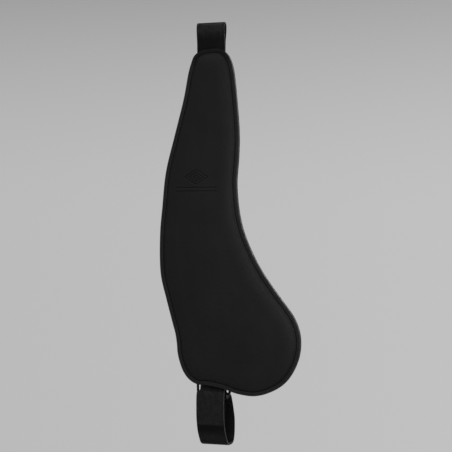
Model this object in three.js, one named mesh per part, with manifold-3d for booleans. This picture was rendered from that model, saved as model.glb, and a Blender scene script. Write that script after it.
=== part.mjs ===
// Padded leather saddle fender: a shaped outer panel, the strap that hangs it from the
// saddle's stirrup bar, and the buckled strap loop that carries the stirrup.
//
// Millimetres. +Z is up, -Y is the outer face, +Y is the side towards the horse.
// The origin is the middle of the tunnel that the stirrup bar passes through.

import * as THREE from 'three';
import { mergeVertices } from 'three/addons/utils/BufferGeometryUtils.js';
import Module from 'manifold-3d';

const wasm = await Module();
wasm.setup();

// ---------------------------------------------------------------- driving dimensions
const GAP = 0.3;                 // clearance between pieces that touch

const STRAP_W = 45;              // stirrup leather: width
const STRAP_T = 3;               // stirrup leather: thickness
const STRAP_Y = -1.95;           // middle of the strap behind the panel
const TUNNEL = { y: 2.7, z: 4 }; // where the bar lies in the tunnel, from the strap's layout
const TAIL_END_Z = -110;         // end of the folded-over part of the top loop
const SWING_Z = -440;            // end of the sewn part: the strap flexes here

const LINING_T = 2.5;
const FACE_T = 3;
const PAD_T = 4;
const RIM = 7;                   // flat stitched border round the raised middle
const BEVEL = 4.8;               // run of the slope from the border to the raised face
const PANEL_STEPS = 84;          // points round the panel's outline

// The strap's left edge is cut back by the buckle's side, on its way down and again where
// it comes up through the buckle.
const NECK = { cut: 5.6, top: -512, bottom: -556, shoulder: 4 };
const NECK_UP = { cut: 4, top: -540, back: 20, shoulder: 4 };

const WIRE_R = 2;                // buckle wire radius
const HEEL = { y: 8, z: -528 };  // heel bar, which the chape and the tongue turn on
const ROLL = { y: 11, z: -559 }; // roller bar
const FRAME_W = 48;              // clear width inside the buckle frame
const CORNER_R = 4;              // buckle frame corner radius, on the wire's centre
const ROLLER_R = 3.5;
const TONGUE_R = 1.6;
const TONGUE_L = 31;
const TONGUE_W = 5;              // width of the tongue's eye
const TONGUE_SLOT = { w: 4.4, length: 14 };  // oblong hole that the tongue passes through
const HOLE_R = 2.2;              // the adjusting holes
const HOLE_PITCH = 25;
const HOLE_PLACES = [-3, -2, -1, 1, 2];      // in pitches from the tongue
const SWEEP_STEP = 3;            // distance between a swept strap's sections

const CHAPE_T = 2.5;
const CHAPE_W = 39;
const CHAPE_TOP_Z = -482;
const CHAPE_SLOT_W = 8;

const KEEPER_T = 1.5;
const FIXED_KEEPER = { z: -495, h: 10 };
const SLIDING_KEEPER = { z: -479, h: 12 };

const RIVET_X = 12;              // rivets sit in pairs, this far from the middle
const SHANK_R = 1.6;
const HEAD_R = 4.8;
const HEAD_T = 1.5;
const BURR_R = 4.2;
const BURR_T = 1;

// ---------------------------------------------------------------- layers, front to back
const BAND_Y = -0.05;            // middle of the free strap below the swing line
const LINING_BACK = STRAP_Y - STRAP_T / 2 - GAP;
const LINING_FRONT = LINING_BACK - LINING_T;
const PAD_BACK = LINING_FRONT - GAP;
const PAD_FRONT = PAD_BACK - PAD_T;
const FACE_IN = PAD_FRONT - GAP;
const FACE_OUT = FACE_IN - FACE_T;
const RIM_OUT = PAD_BACK - FACE_T;
const CHAPE_FRONT = BAND_Y + STRAP_T / 2 + GAP;
const CHAPE_MID = CHAPE_FRONT + CHAPE_T + GAP / 2;
const TAIL_FRONT = CHAPE_MID + GAP / 2 + CHAPE_T + GAP;
const TAIL_Y = TAIL_FRONT + STRAP_T / 2;

// Outline of the panel, clockwise from the middle of its top edge, as [x, z].
const PANEL_OUTLINE = [
  [3, -30.1], [16, -30.7], [26.5, -36], [36.5, -54], [44.4, -112], [48, -165], [46.8, -200],
  [44.3, -240], [52.8, -301], [79.5, -361], [118, -415], [134, -436], [144.5, -464],
  [142, -500], [119.8, -537.3], [80, -557], [46, -555.8], [22, -548.5], [-4, -544],
  [-25, -542], [-42, -526], [-52.5, -496], [-54.5, -474], [-62, -446], [-71.5, -412],
  [-80.5, -375], [-81.6, -312], [-78, -272], [-72, -218], [-57, -160], [-42.5, -106],
  [-31.8, -56], [-22, -36], [-11, -31.7],
];

// ---------------------------------------------------------------- materials
const leather = (color, roughness = 0.55) =>
  new THREE.MeshStandardMaterial({ color, roughness, metalness: 0 });
const FACE_LEATHER = leather(0x1e1e1f);
const STRAP_LEATHER = leather(0x1c1c1d, 0.5);
const LINING_LEATHER = leather(0x232322, 0.7);
const FOAM = leather(0x55565a, 0.95);
const BLACK_METAL = new THREE.MeshStandardMaterial({
  color: 0x26272a, roughness: 0.4, metalness: 0.6,
});
const STEEL = new THREE.MeshStandardMaterial({ color: 0x6b6d70, roughness: 0.35, metalness: 0.9 });

// ---------------------------------------------------------------- geometry helpers
function bufferFrom(vertices, triangles) {
  const geometry = new THREE.BufferGeometry();
  geometry.setAttribute('position', new THREE.Float32BufferAttribute(vertices, 3));
  geometry.setIndex(triangles);
  return geometry;
}

function toSolid(geometry) {
  const bare = geometry.clone();
  bare.deleteAttribute('normal');
  bare.deleteAttribute('uv');
  const merged = mergeVertices(bare, 1e-4);
  return new wasm.Manifold(new wasm.Mesh({
    numProp: 3,
    vertProperties: new Float32Array(merged.attributes.position.array),
    triVerts: new Uint32Array(merged.index.array),
  }));
}

function fromSolid(solid) {
  const mesh = solid.getMesh();
  return bufferFrom(Array.from(mesh.vertProperties), Array.from(mesh.triVerts));
}

function cut(geometry, cutters) {
  let solid = toSolid(geometry);
  for (const cutter of cutters) solid = solid.subtract(toSolid(cutter));
  return fromSolid(solid);
}

function join(geometries) {
  let solid = toSolid(geometries[0]);
  for (const geometry of geometries.slice(1)) solid = solid.add(toSolid(geometry));
  return fromSolid(solid);
}

// Turns the faces outward if a loft was wound the other way.
function outward(vertices, triangles) {
  const p = (i) => new THREE.Vector3().fromArray(vertices, 3 * i);
  let volume = 0;
  for (let i = 0; i < triangles.length; i += 3) {
    volume += p(triangles[i]).dot(p(triangles[i + 1]).cross(p(triangles[i + 2])));
  }
  if (volume < 0) triangles.reverse();
  return bufferFrom(vertices, triangles);
}

// Joins rings of equal point counts into one body: open ends are capped, and a loop of
// rings is closed on itself.
function loft(rings, { loop = false } = {}) {
  const count = rings[0].length;
  const vertices = rings.flat().flatMap((p) => [p.x, p.y, p.z]);
  const triangles = [];
  const bands = loop ? rings.length : rings.length - 1;
  for (let i = 0; i < bands; i += 1) {
    const next = (i + 1) % rings.length;
    for (let j = 0; j < count; j += 1) {
      const k = (j + 1) % count;
      const [a, b, c, d] = [i * count + j, i * count + k, next * count + k, next * count + j];
      triangles.push(a, b, c, a, c, d);
    }
  }
  if (!loop) {
    const last = (rings.length - 1) * count;
    for (const [a, b, c] of capTriangles(rings[0])) triangles.push(a, c, b);
    for (const [a, b, c] of capTriangles(rings.at(-1))) triangles.push(last + a, last + b, last + c);
  }
  return outward(vertices, triangles);
}

// Triangles of a flat ring, wound the way the ring runs.
function capTriangles(ring) {
  const normal = new THREE.Vector3();
  ring.forEach((p, i) => normal.add(p.clone().cross(ring[(i + 1) % ring.length])));
  normal.normalize();
  const turn = new THREE.Quaternion().setFromUnitVectors(normal, new THREE.Vector3(0, 0, 1));
  const flat = ring.map((p) => p.clone().applyQuaternion(turn));
  return THREE.ShapeUtils.triangulateShape(flat.map((p) => new THREE.Vector2(p.x, p.y)), []);
}

// The panel's outline, moved inward by a distance, at one depth.
function panelRing(inset, y) {
  const curve = new THREE.CatmullRomCurve3(
    PANEL_OUTLINE.map(([x, z]) => new THREE.Vector3(x, y, z)), true, 'centripetal');
  const ring = [];
  for (let i = 0; i < PANEL_STEPS; i += 1) {
    const at = i / PANEL_STEPS;
    const tangent = curve.getTangentAt(at);
    const inward = new THREE.Vector3(tangent.z, 0, -tangent.x);
    ring.push(curve.getPointAt(at).addScaledVector(inward, inset));
  }
  return ring;
}

// A layer of the panel from [inset, y] steps, capped at the first and the last one.
const panelLayer = (steps) => loft(steps.map(([inset, y]) => panelRing(inset, y)));

// A strap along a path of [y, z] points. Its width lies along X. cutAt gives how far the left
// edge is cut back at a point and its index, and roundStart ends the strap in a half round
// about its first point.
function strap(path, thickness, width, { roundStart = false, cutAt = () => 0 } = {}) {
  const half = thickness / 2;
  const at = path.map(([y, z]) => new THREE.Vector2(y, z));
  const rings = [];
  at.forEach((point, i) => {
    const ahead = at[Math.min(i + 1, at.length - 1)];
    const behind = at[Math.max(i - 1, 0)];
    const along = ahead.clone().sub(behind).normalize();
    const across = new THREE.Vector2(-along.y, along.x);
    if (i === 0 && roundStart) {
      for (const degrees of [15, 40, 65]) {
        const angle = THREE.MathUtils.degToRad(degrees);
        const start = point.clone().addScaledVector(along, -half * Math.cos(angle));
        rings.push(strapRing(start, across, half * Math.sin(angle), width, 0));
      }
    }
    rings.push(strapRing(point, across, half, width, cutAt(point, i)));
  });
  return loft(rings);
}

function strapRing(point, across, half, width, cutBack) {
  const front = point.clone().addScaledVector(across, -half);
  const back = point.clone().addScaledVector(across, half);
  const left = -width / 2 + cutBack;
  const right = width / 2;
  return [
    new THREE.Vector3(left, front.x, front.y),
    new THREE.Vector3(right, front.x, front.y),
    new THREE.Vector3(right, back.x, back.y),
    new THREE.Vector3(left, back.x, back.y),
  ];
}

// A smooth curve through [y, z] points.
function curveThrough(points) {
  const across = points.map(([y, z]) => new THREE.Vector3(0, y, z));
  return new THREE.CatmullRomCurve3(across, false, 'centripetal');
}

// Points [y, z] along a curve, about every step millimetres.
function spaced(curve, step) {
  const count = Math.round(curve.getLength() / step);
  return curve.getSpacedPoints(count).map((p) => [p.y, p.z]);
}

// A round bar along X.
function barX(radius, length, sides = 24) {
  return new THREE.CylinderGeometry(radius, radius, length, sides).rotateZ(Math.PI / 2);
}

// A round bar along Y between two depths.
function barY(radius, y0, y1, x, z, sides = 24) {
  const bar = new THREE.CylinderGeometry(radius, radius, y1 - y0, sides);
  return bar.translate(x, (y0 + y1) / 2, z);
}

// A body turned about a line along Y, from a closed profile of [radius, y] points.
function turned(profile, x, z, sides = 24) {
  const points = profile.map(([radius, y]) => new THREE.Vector2(radius, y));
  return new THREE.LatheGeometry([...points, points[0]], sides).translate(x, 0, z);
}

// ---------------------------------------------------------------- rivets
// Every rivet: its head's inner face is at back, and its burr's outer face is at front.
const RIVETS = [
  { name: 'upper_rivet', z: -72, front: LINING_FRONT, back: STRAP_Y + 1.5 * STRAP_T + GAP },
  { name: 'lower_rivet', z: -420, front: LINING_FRONT, back: STRAP_Y + STRAP_T / 2 },
];
const SIDES = { left: -1, right: 1 };
const shankHoles = (rivets, y0, y1) => rivets.flatMap((rivet) => Object.values(SIDES).map(
  (side) => barY(SHANK_R + GAP, y0, y1, side * RIVET_X, rivet.z)));

function rivetGeometry(rivet, side) {
  const head = rivet.back + GAP;
  const end = rivet.front - GAP - BURR_T - 0.5;
  return turned([
    [0, end], [SHANK_R, end], [SHANK_R, head], [HEAD_R, head],
    [HEAD_R * 0.92, head + HEAD_T * 0.45], [HEAD_R * 0.6, head + HEAD_T * 0.85], [0, head + HEAD_T],
  ], side * RIVET_X, rivet.z);
}

function burrGeometry(rivet, side) {
  const outer = rivet.front - GAP;
  const hole = SHANK_R + GAP;
  return turned([
    [hole, outer - BURR_T], [BURR_R, outer - BURR_T], [BURR_R, outer], [hole, outer],
  ], side * RIVET_X, rivet.z);
}

// ---------------------------------------------------------------- the panel
function facePanel() {
  const slope = RIM + BEVEL;
  const wall = RIM + FACE_T;
  return panelLayer([
    [slope + FACE_T, FACE_IN], [wall, PAD_BACK - 1], [wall, PAD_BACK],
    [0, PAD_BACK], [0, RIM_OUT + 1], [1, RIM_OUT], [RIM, RIM_OUT],
    [RIM + BEVEL * 0.45, FACE_OUT + 1.4], [slope, FACE_OUT],
  ]);
}

function padding() {
  const wall = RIM + FACE_T + GAP;
  const pad = panelLayer([
    [wall, PAD_BACK], [wall, PAD_BACK - 1], [wall + BEVEL, PAD_FRONT],
  ]);
  const depth = BURR_T + 1;
  const pockets = RIVETS.flatMap((rivet) => Object.values(SIDES).map(
    (side) => barY(BURR_R + 1, PAD_BACK - depth, PAD_BACK + 1, side * RIVET_X, rivet.z)));
  return cut(pad, pockets);
}

function liningPanel() {
  const lining = panelLayer([[0, LINING_FRONT], [0, LINING_BACK]]);
  return cut(lining, shankHoles(RIVETS, LINING_FRONT - 1, LINING_BACK + 1));
}

// ---------------------------------------------------------------- the stirrup leather
// The upper part runs up behind the panel, round the stirrup bar and down again.
function mainStrap() {
  const tailY = STRAP_Y + STRAP_T + GAP;
  const roll = curveThrough([
    [STRAP_Y, -26], [-2.2, -20], [-3.1, -12.5], [-4.1, -6], [-4.6, 0], [-4.5, 4], [-3.5, 7.6],
    [-1.4, 9.6], [0.6, 9.85], [3, 9.2], [4.8, 7], [5.5, 3.5], [5.3, -1], [4.4, -7],
    [3.1, -13], [2, -18.5], [1.45, -23], [tailY, -27],
  ]);
  const path = [
    [STRAP_Y, SWING_Z + STRAP_T / 2 + GAP], [STRAP_Y, -30], ...spaced(roll, 2.2),
    [tailY, TAIL_END_Z],
  ];
  const band = strap(path, STRAP_T, STRAP_W);
  return cut(band, shankHoles(RIVETS, -5, 5));
}

// The lower part runs down in front to a flat seat for the stirrup, then up behind it,
// forward under the roller, through the buckle and on to the end of the tail.
const SEAT = { y: 25, z: -637, half: 6 };
const LOOP_DOWN = curveThrough([
  [STRAP_Y, SWING_Z], [STRAP_Y, -444], [BAND_Y, -455], [BAND_Y, -480], [BAND_Y, -505],
  [0, -520], [0.3, -530], [0.7, -538], [0.3, -545], [-1, -550], [-3.3, -555], [-5, -560],
  [-5.8, -567], [-5.9, -580], [-5.6, -592], [-3.4, -605], [0.7, -617],
  [7.1, -627.5], [13, -634.4], [SEAT.y - SEAT.half, SEAT.z],
]);
const LOOP_UP = curveThrough([
  [SEAT.y + SEAT.half, SEAT.z], [37.5, -634.4], [41.7, -626], [43.2, -614], [43.2, -603],
  [41.7, -595], [39.4, -588.5], [36.4, -581], [33.4, -574], [30.2, -568], [27, -563],
  [23.2, -561.2], [19, -562.2], [14.5, -564.4], [10, -565.5], [6, -562], [5.4, -557],
  [7.2, -550.5], [10.4, -542.5], [13.6, -535], [15, -528], [14.4, -518], [12.3, -508],
  [9.9, -500.5], [TAIL_Y, -495], [TAIL_Y, -480], [TAIL_Y, -452],
]);

// How far the left edge is cut back at a point of the strap.
function neckCut(point, upward) {
  const neck = upward ? NECK_UP : NECK;
  const near = Math.min(neck.top - point.y,
    upward ? neck.back - point.x : point.y - neck.bottom);
  return neck.cut * THREE.MathUtils.smoothstep(near, 0, neck.shoulder);
}

// How far the tongue leans from straight down, so that it rests on the roller.
function tongueLean() {
  const centres = Math.hypot(ROLL.y - HEEL.y, ROLL.z - HEEL.z);
  const lean = Math.atan2(ROLL.y - HEEL.y, HEEL.z - ROLL.z);
  return lean + Math.asin((ROLLER_R + GAP + TONGUE_R) / centres);
}

// How far along the strap the tongue passes through it.
function tongueCrossing() {
  const aim = new THREE.Vector3(0, Math.sin(tongueLean()), -Math.cos(tongueLean()));
  const length = LOOP_UP.getLength();
  let best = { miss: Infinity, s: 0 };
  for (let s = 0; s < length; s += 0.5) {
    const from = LOOP_UP.getPointAt(s / length).sub(new THREE.Vector3(0, HEEL.y, HEEL.z));
    const reach = from.dot(aim);
    const miss = from.clone().addScaledVector(aim, -reach).length();
    if (reach > 5 && reach < TONGUE_L - 8 && miss < best.miss) best = { miss, s };
  }
  return best.s;
}

// A hole square through the strap, at a distance along it: round, or oblong if it is longer.
function strapHole(s, width, length = width) {
  const at = s / LOOP_UP.getLength();
  const along = LOOP_UP.getTangentAt(at);
  const shape = new THREE.Shape();
  const reach = (length - width) / 2;
  if (reach > 0) {
    shape.absarc(0, reach, width / 2, 0, Math.PI, false);
    shape.absarc(0, -reach, width / 2, Math.PI, 2 * Math.PI, false);
  } else {
    shape.absarc(0, 0, width / 2, 0, 2 * Math.PI, false);
  }
  const options = { depth: 2 * STRAP_T, bevelEnabled: false, curveSegments: 8 };
  const block = new THREE.ExtrudeGeometry(shape, options).translate(0, 0, -STRAP_T);
  block.rotateX(Math.atan2(along.z, along.y));
  const centre = LOOP_UP.getPointAt(at);
  return block.translate(0, centre.y, centre.z);
}

function stirrupStrap() {
  const down = spaced(LOOP_DOWN, SWEEP_STEP);
  const up = spaced(LOOP_UP, SWEEP_STEP);
  const cutAt = (point, i) => neckCut(point, i >= down.length);
  const band = strap([...down, ...up], STRAP_T, STRAP_W, { roundStart: true, cutAt });
  const crossing = tongueCrossing();
  const holes = [strapHole(crossing, TONGUE_SLOT.w, TONGUE_SLOT.length)];
  for (const place of HOLE_PLACES) {
    holes.push(strapHole(crossing + place * HOLE_PITCH, 2 * HOLE_R));
  }
  return cut(band, holes);
}

// ---------------------------------------------------------------- buckle
// Leather folded round the heel bar and sewn to the strap above it.
function buckleChape() {
  const offset = (CHAPE_T + GAP) / 2;
  const bend = WIRE_R + GAP + CHAPE_T / 2;
  const front = [[CHAPE_MID - offset, CHAPE_TOP_Z], [CHAPE_MID - offset, -505], [4, -517]];
  const round = [];
  for (let degrees = 180; degrees <= 360; degrees += 22.5) {
    const angle = THREE.MathUtils.degToRad(degrees);
    round.push([HEEL.y + bend * Math.cos(angle), HEEL.z + bend * Math.sin(angle)]);
  }
  const back = [[10.7, -517], [8.7, -508], [CHAPE_MID + offset, -499], [CHAPE_MID + offset, CHAPE_TOP_Z]];
  const folded = strap([...front, ...round, ...back], CHAPE_T, CHAPE_W);
  const slot = new THREE.BoxGeometry(CHAPE_SLOT_W, 30, 17).translate(0, HEEL.y, HEEL.z - 1);
  return cut(folded, [slot]);
}

// The wire's middle line, with rounded corners, and the direction from the heel bar down.
function frameRing(angleCount) {
  const heel = new THREE.Vector3(0, HEEL.y, HEEL.z);
  const roll = new THREE.Vector3(0, ROLL.y, ROLL.z);
  const down = roll.clone().sub(heel).normalize();
  const halfW = FRAME_W / 2 + WIRE_R;
  const length = heel.distanceTo(roll);
  const corners = [[1, 0, 0], [1, 1, 90], [-1, 1, 180], [-1, 0, 270]];
  const path = [];
  for (const [side, far, start] of corners) {
    const x = side * (halfW - CORNER_R);
    const s = far ? length - CORNER_R : CORNER_R;
    for (let i = 0; i <= angleCount; i += 1) {
      const angle = THREE.MathUtils.degToRad(start - 90 + (90 * i) / angleCount);
      const point = heel.clone().addScaledVector(down, s + CORNER_R * Math.sin(angle));
      point.x = x + CORNER_R * Math.cos(angle);
      path.push(point);
    }
  }
  return { path, down };
}

function buckleFrame() {
  const { path, down } = frameRing(4);
  const normal = new THREE.Vector3(1, 0, 0).cross(down).normalize();
  const rings = path.map((point, i) => {
    const ahead = path[(i + 1) % path.length];
    const behind = path[(i + path.length - 1) % path.length];
    const along = ahead.clone().sub(behind).normalize();
    const side = along.clone().cross(normal).normalize();
    const ring = [];
    for (let j = 0; j < 16; j += 1) {
      const angle = (2 * Math.PI * j) / 16;
      ring.push(point.clone()
        .addScaledVector(side, WIRE_R * Math.cos(angle))
        .addScaledVector(normal, WIRE_R * Math.sin(angle)));
    }
    return ring;
  });
  return loft(rings, { loop: true });
}

function rollerTube() {
  const bore = WIRE_R + GAP;
  const half = FRAME_W / 2 - CORNER_R + WIRE_R - GAP;
  const points = [[bore, -half], [ROLLER_R, -half], [ROLLER_R, half], [bore, half], [bore, -half]];
  const tube = new THREE.LatheGeometry(points.map(([r, y]) => new THREE.Vector2(r, y)), 24);
  return tube.rotateZ(Math.PI / 2).translate(0, ROLL.y, ROLL.z);
}

// An eye round the heel bar and a pin that rests on the far side of the roller.
function buckleTongue() {
  const eyeInner = barX(WIRE_R + GAP, TONGUE_W + 2);
  const eyeOuter = barX(WIRE_R + GAP + 1.9, TONGUE_W);
  const start = WIRE_R + GAP + 1;
  const pin = new THREE.CylinderGeometry(TONGUE_R, TONGUE_R, TONGUE_L - start, 16);
  pin.translate(0, -(TONGUE_L + start) / 2, 0);
  const tip = new THREE.SphereGeometry(TONGUE_R, 16, 8).translate(0, -TONGUE_L, 0);
  const arm = join([pin, tip]).rotateX(Math.PI / 2 + tongueLean());
  const body = cut(join([eyeOuter, arm]), [eyeInner]);
  return body.translate(0, HEEL.y, HEEL.z);
}

// ---------------------------------------------------------------- keepers
function keeper({ z, h }) {
  const inX = STRAP_W / 2 + GAP;
  const front = BAND_Y - STRAP_T / 2 - GAP;
  const back = TAIL_Y + STRAP_T / 2 + GAP;
  const outer = new THREE.BoxGeometry(2 * (inX + KEEPER_T), back - front + 2 * KEEPER_T, h);
  const inner = new THREE.BoxGeometry(2 * inX, back - front, h + 2);
  return cut(outer, [inner]).translate(0, (front + back) / 2, z + h / 2);
}

// ---------------------------------------------------------------- the assembly
// The pieces are laid out about the strap. The inner group hangs them so that the middle of
// the top loop's tunnel is the origin.
const fender = new THREE.Group();
const hung = new THREE.Group();
hung.position.set(0, -TUNNEL.y, -TUNNEL.z);
fender.add(hung);

function add(name, geometry, material) {
  const mesh = new THREE.Mesh(geometry, material);
  mesh.name = name;
  hung.add(mesh);
}

add('face_panel', facePanel(), FACE_LEATHER);
add('padding', padding(), FOAM);
add('lining_panel', liningPanel(), LINING_LEATHER);
add('main_strap', mainStrap(), STRAP_LEATHER);
add('stirrup_strap', stirrupStrap(), STRAP_LEATHER);
add('buckle_chape', buckleChape(), STRAP_LEATHER);
add('fixed_keeper', keeper(FIXED_KEEPER), STRAP_LEATHER);
add('sliding_keeper', keeper(SLIDING_KEEPER), STRAP_LEATHER);
add('buckle_frame', buckleFrame(), BLACK_METAL);
add('buckle_roller', rollerTube(), BLACK_METAL);
add('buckle_tongue', buckleTongue(), BLACK_METAL);

for (const rivet of RIVETS) {
  for (const [sideName, side] of Object.entries(SIDES)) {
    add(`${rivet.name}_${sideName}`, rivetGeometry(rivet, side), STEEL);
    add(`${rivet.name}_burr_${sideName}`, burrGeometry(rivet, side), STEEL);
  }
}

export default fender;
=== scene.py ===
"""Looks of a padded leather saddle fender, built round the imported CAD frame.

Lengths below are in millimetres, and MM turns them into Blender's metres.
+Z is up, -Y is the outer face and +Y is the side towards the horse.
"""

import math

import bmesh
import bpy
import numpy as np
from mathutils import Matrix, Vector
from mathutils.geometry import delaunay_2d_cdt


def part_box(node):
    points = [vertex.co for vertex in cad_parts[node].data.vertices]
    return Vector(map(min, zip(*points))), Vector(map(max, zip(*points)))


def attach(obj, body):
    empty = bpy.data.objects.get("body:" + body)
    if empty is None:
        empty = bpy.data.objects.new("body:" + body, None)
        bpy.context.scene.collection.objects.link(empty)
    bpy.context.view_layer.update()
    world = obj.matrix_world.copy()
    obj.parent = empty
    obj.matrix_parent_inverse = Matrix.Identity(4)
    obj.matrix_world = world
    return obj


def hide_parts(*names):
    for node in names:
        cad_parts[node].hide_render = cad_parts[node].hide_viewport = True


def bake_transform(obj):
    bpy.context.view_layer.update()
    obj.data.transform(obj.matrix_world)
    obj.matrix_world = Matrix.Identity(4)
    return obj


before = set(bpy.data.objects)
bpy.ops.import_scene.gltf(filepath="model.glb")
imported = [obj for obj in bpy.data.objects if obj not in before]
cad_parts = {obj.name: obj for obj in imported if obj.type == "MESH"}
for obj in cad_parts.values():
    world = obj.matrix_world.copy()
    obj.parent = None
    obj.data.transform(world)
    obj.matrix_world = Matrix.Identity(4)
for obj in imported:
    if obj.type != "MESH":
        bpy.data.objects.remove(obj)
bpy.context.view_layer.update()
SCENE = bpy.context.scene
MM = 0.001

# ---- driving sizes (mm)
GAP = 0.3  # between pieces that fit together
STRAP_T, CHAPE_T, KEEPER_T, RIM_T = 3.0, 2.5, 1.5, 3.0  # leather, the last at the panel's rim
CHAPE_W, THREAD_R = 39.0, 0.42
SEAM_IN, CROWN_START, CROWN_END = 6.4, 7.0, 30.0  # from the edge: the seam, and the pad's rise
SHANK_HOLE = 1.9  # radius of the holes for the rivets' shanks
SAME_PLACE = 1e-7  # vertices closer than this, in metres, are merged

# The strap's layout, as [y, z] about the strap, in the same places as its CAD solids.
TUNNEL = np.array([2.7, 4.0])
STRAP_Y, BAND_Y, TAIL_Y = -1.95, -0.05, 8.85
OVER_Y = STRAP_Y + STRAP_T + GAP
ROLL = [
    [STRAP_Y, -26], [-2.2, -20], [-3.1, -12.5], [-4.1, -6], [-4.6, 0], [-4.5, 4], [-3.5, 7.6],
    [-1.4, 9.6], [0.6, 9.85], [3, 9.2], [4.8, 7], [5.5, 3.5], [5.3, -1], [4.4, -7],
    [3.1, -13], [2, -18.5], [1.45, -23], [OVER_Y, -27],
]
LOOP_DOWN = [
    [STRAP_Y, -440], [STRAP_Y, -444], [BAND_Y, -455], [BAND_Y, -480], [BAND_Y, -505],
    [0, -520], [0.3, -530], [0.7, -538], [0.3, -545], [-1, -550], [-3.3, -555], [-5, -560],
    [-5.8, -567], [-5.9, -580], [-5.6, -592], [-3.4, -605], [0.7, -617], [7.1, -627.5],
    [13, -634.4], [19, -637],
]
LOOP_UP = [
    [31, -637], [37.5, -634.4], [41.7, -626], [43.2, -614], [43.2, -603], [41.7, -595],
    [39.4, -588.5], [36.4, -581], [33.4, -574], [30.2, -568], [27, -563], [23.2, -561.2],
    [19, -562.2], [14.5, -564.4], [10, -565.5], [6, -562], [5.4, -557], [7.2, -550.5],
    [10.4, -542.5], [13.6, -535], [15, -528], [14.4, -518], [12.3, -508], [9.9, -500.5],
    [TAIL_Y, -495], [TAIL_Y, -480], [TAIL_Y, -453],
]


# ---- small helpers
def smoother(t):
    """0 to 1 with a soft start and a soft end."""
    t = np.clip(t, 0.0, 1.0)
    return t * t * t * (t * (6 * t - 15) + 10)


def bump_at(t, centre, width):
    """A smooth hill 1 high at centre, and 0 beyond width to each side."""
    return smoother(1 - np.abs(t - centre) / width)


def set_attribute(mesh, name, values):
    """Stores one number for each vertex, for the material to read."""
    attribute = mesh.attributes.new(name, "FLOAT", "POINT")
    attribute.data.foreach_set("value", np.asarray(values, dtype=np.float32))


def mesh_object(name, vertices, faces, smooth_angle=50, attributes=None):
    """A mesh object from vertices in metres, shaded smooth below an angle in degrees."""
    mesh = bpy.data.meshes.new(name)
    mesh.from_pydata([tuple(v) for v in vertices], [], [tuple(f) for f in faces])
    for key, values in (attributes or {}).items():
        set_attribute(mesh, key, values)
    build = bmesh.new()
    build.from_mesh(mesh)
    bmesh.ops.remove_doubles(build, verts=build.verts, dist=SAME_PLACE)
    bmesh.ops.recalc_face_normals(build, faces=build.faces)
    build.to_mesh(mesh)
    build.free()
    mesh.shade_smooth()
    mesh.set_sharp_from_angle(angle=math.radians(smooth_angle))
    piece = bpy.data.objects.new(name, mesh)
    SCENE.collection.objects.link(piece)
    return piece


def finish_piece(piece, material, body, node=None):
    """Gives a piece its material and its body, and hides the CAD node that it stands for."""
    piece.data.materials.clear()
    piece.data.materials.append(material)
    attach(piece, body)
    if node:
        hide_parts(node)


def coordinates(mesh):
    """The mesh's vertices as rows of x, y and z, in metres."""
    co = np.empty(len(mesh.vertices) * 3)
    mesh.vertices.foreach_get("co", co)
    return co.reshape(-1, 3)


def ring_tangents(ring):
    """Unit steps along a closed ring of points."""
    steps = np.roll(ring, -1, axis=0) - np.roll(ring, 1, axis=0)
    return steps / np.linalg.norm(steps, axis=1)[:, None]


def lengths_along(path):
    """The length of a path up to each of its points."""
    return np.concatenate([[0], np.cumsum(np.linalg.norm(np.diff(path, axis=0), axis=1))])


def sample(values, lengths, at):
    """Rows of two values, given along a path, at some lengths along it."""
    return np.column_stack([np.interp(at, lengths, values[:, k]) for k in (0, 1)])


def circle(sides, turn=0.0):
    """Cosines and sines round a circle, turned by a share of a side."""
    angles = (2 * math.pi * (i + turn) / sides for i in range(sides))
    return [(math.cos(angle), math.sin(angle)) for angle in angles]


def ring_faces(rings, count, closed=False):
    """Quads between rings of count points; closed joins the last ring to the first."""
    faces = []
    for i in range(rings if closed else rings - 1):
        a, b = i * count, ((i + 1) % rings) * count
        for j in range(count):
            k = (j + 1) % count
            faces.append((a + j, a + k, b + k, b + j))
    return faces


def tube_faces(rings, count):
    """Quads between rings, and one face over each end."""
    last = (rings - 1) * count
    return ring_faces(rings, count) + [range(count)[::-1], range(last, last + count)]


def combine(piece, others, operation="DIFFERENCE", sharp_angle=None):
    """Cuts the other meshes out of a piece, or joins them to it, and deletes them."""
    for other in others:
        boolean = piece.modifiers.new("combine", "BOOLEAN")
        boolean.operation = operation
        boolean.solver = "EXACT"
        boolean.object = other
    depsgraph = bpy.context.evaluated_depsgraph_get()
    done = bpy.data.meshes.new_from_object(piece.evaluated_get(depsgraph))
    old = piece.data
    piece.modifiers.clear()
    piece.data = done
    done.name = old.name
    bpy.data.meshes.remove(old)
    for other in others:
        bpy.data.objects.remove(other, do_unlink=True)
    if sharp_angle:
        done.set_sharp_from_angle(angle=math.radians(sharp_angle))


def box_mm(node):
    """The low and the high corner of a CAD node's box, in millimetres."""
    return [np.array(corner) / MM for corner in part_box(node)]


def box_axis(node):
    """The point, in metres, where the line along Y through a node's centre meets y = 0."""
    low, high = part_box(node)
    centre = (np.array(low) + np.array(high)) / 2
    centre[1] = 0
    return centre


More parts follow.
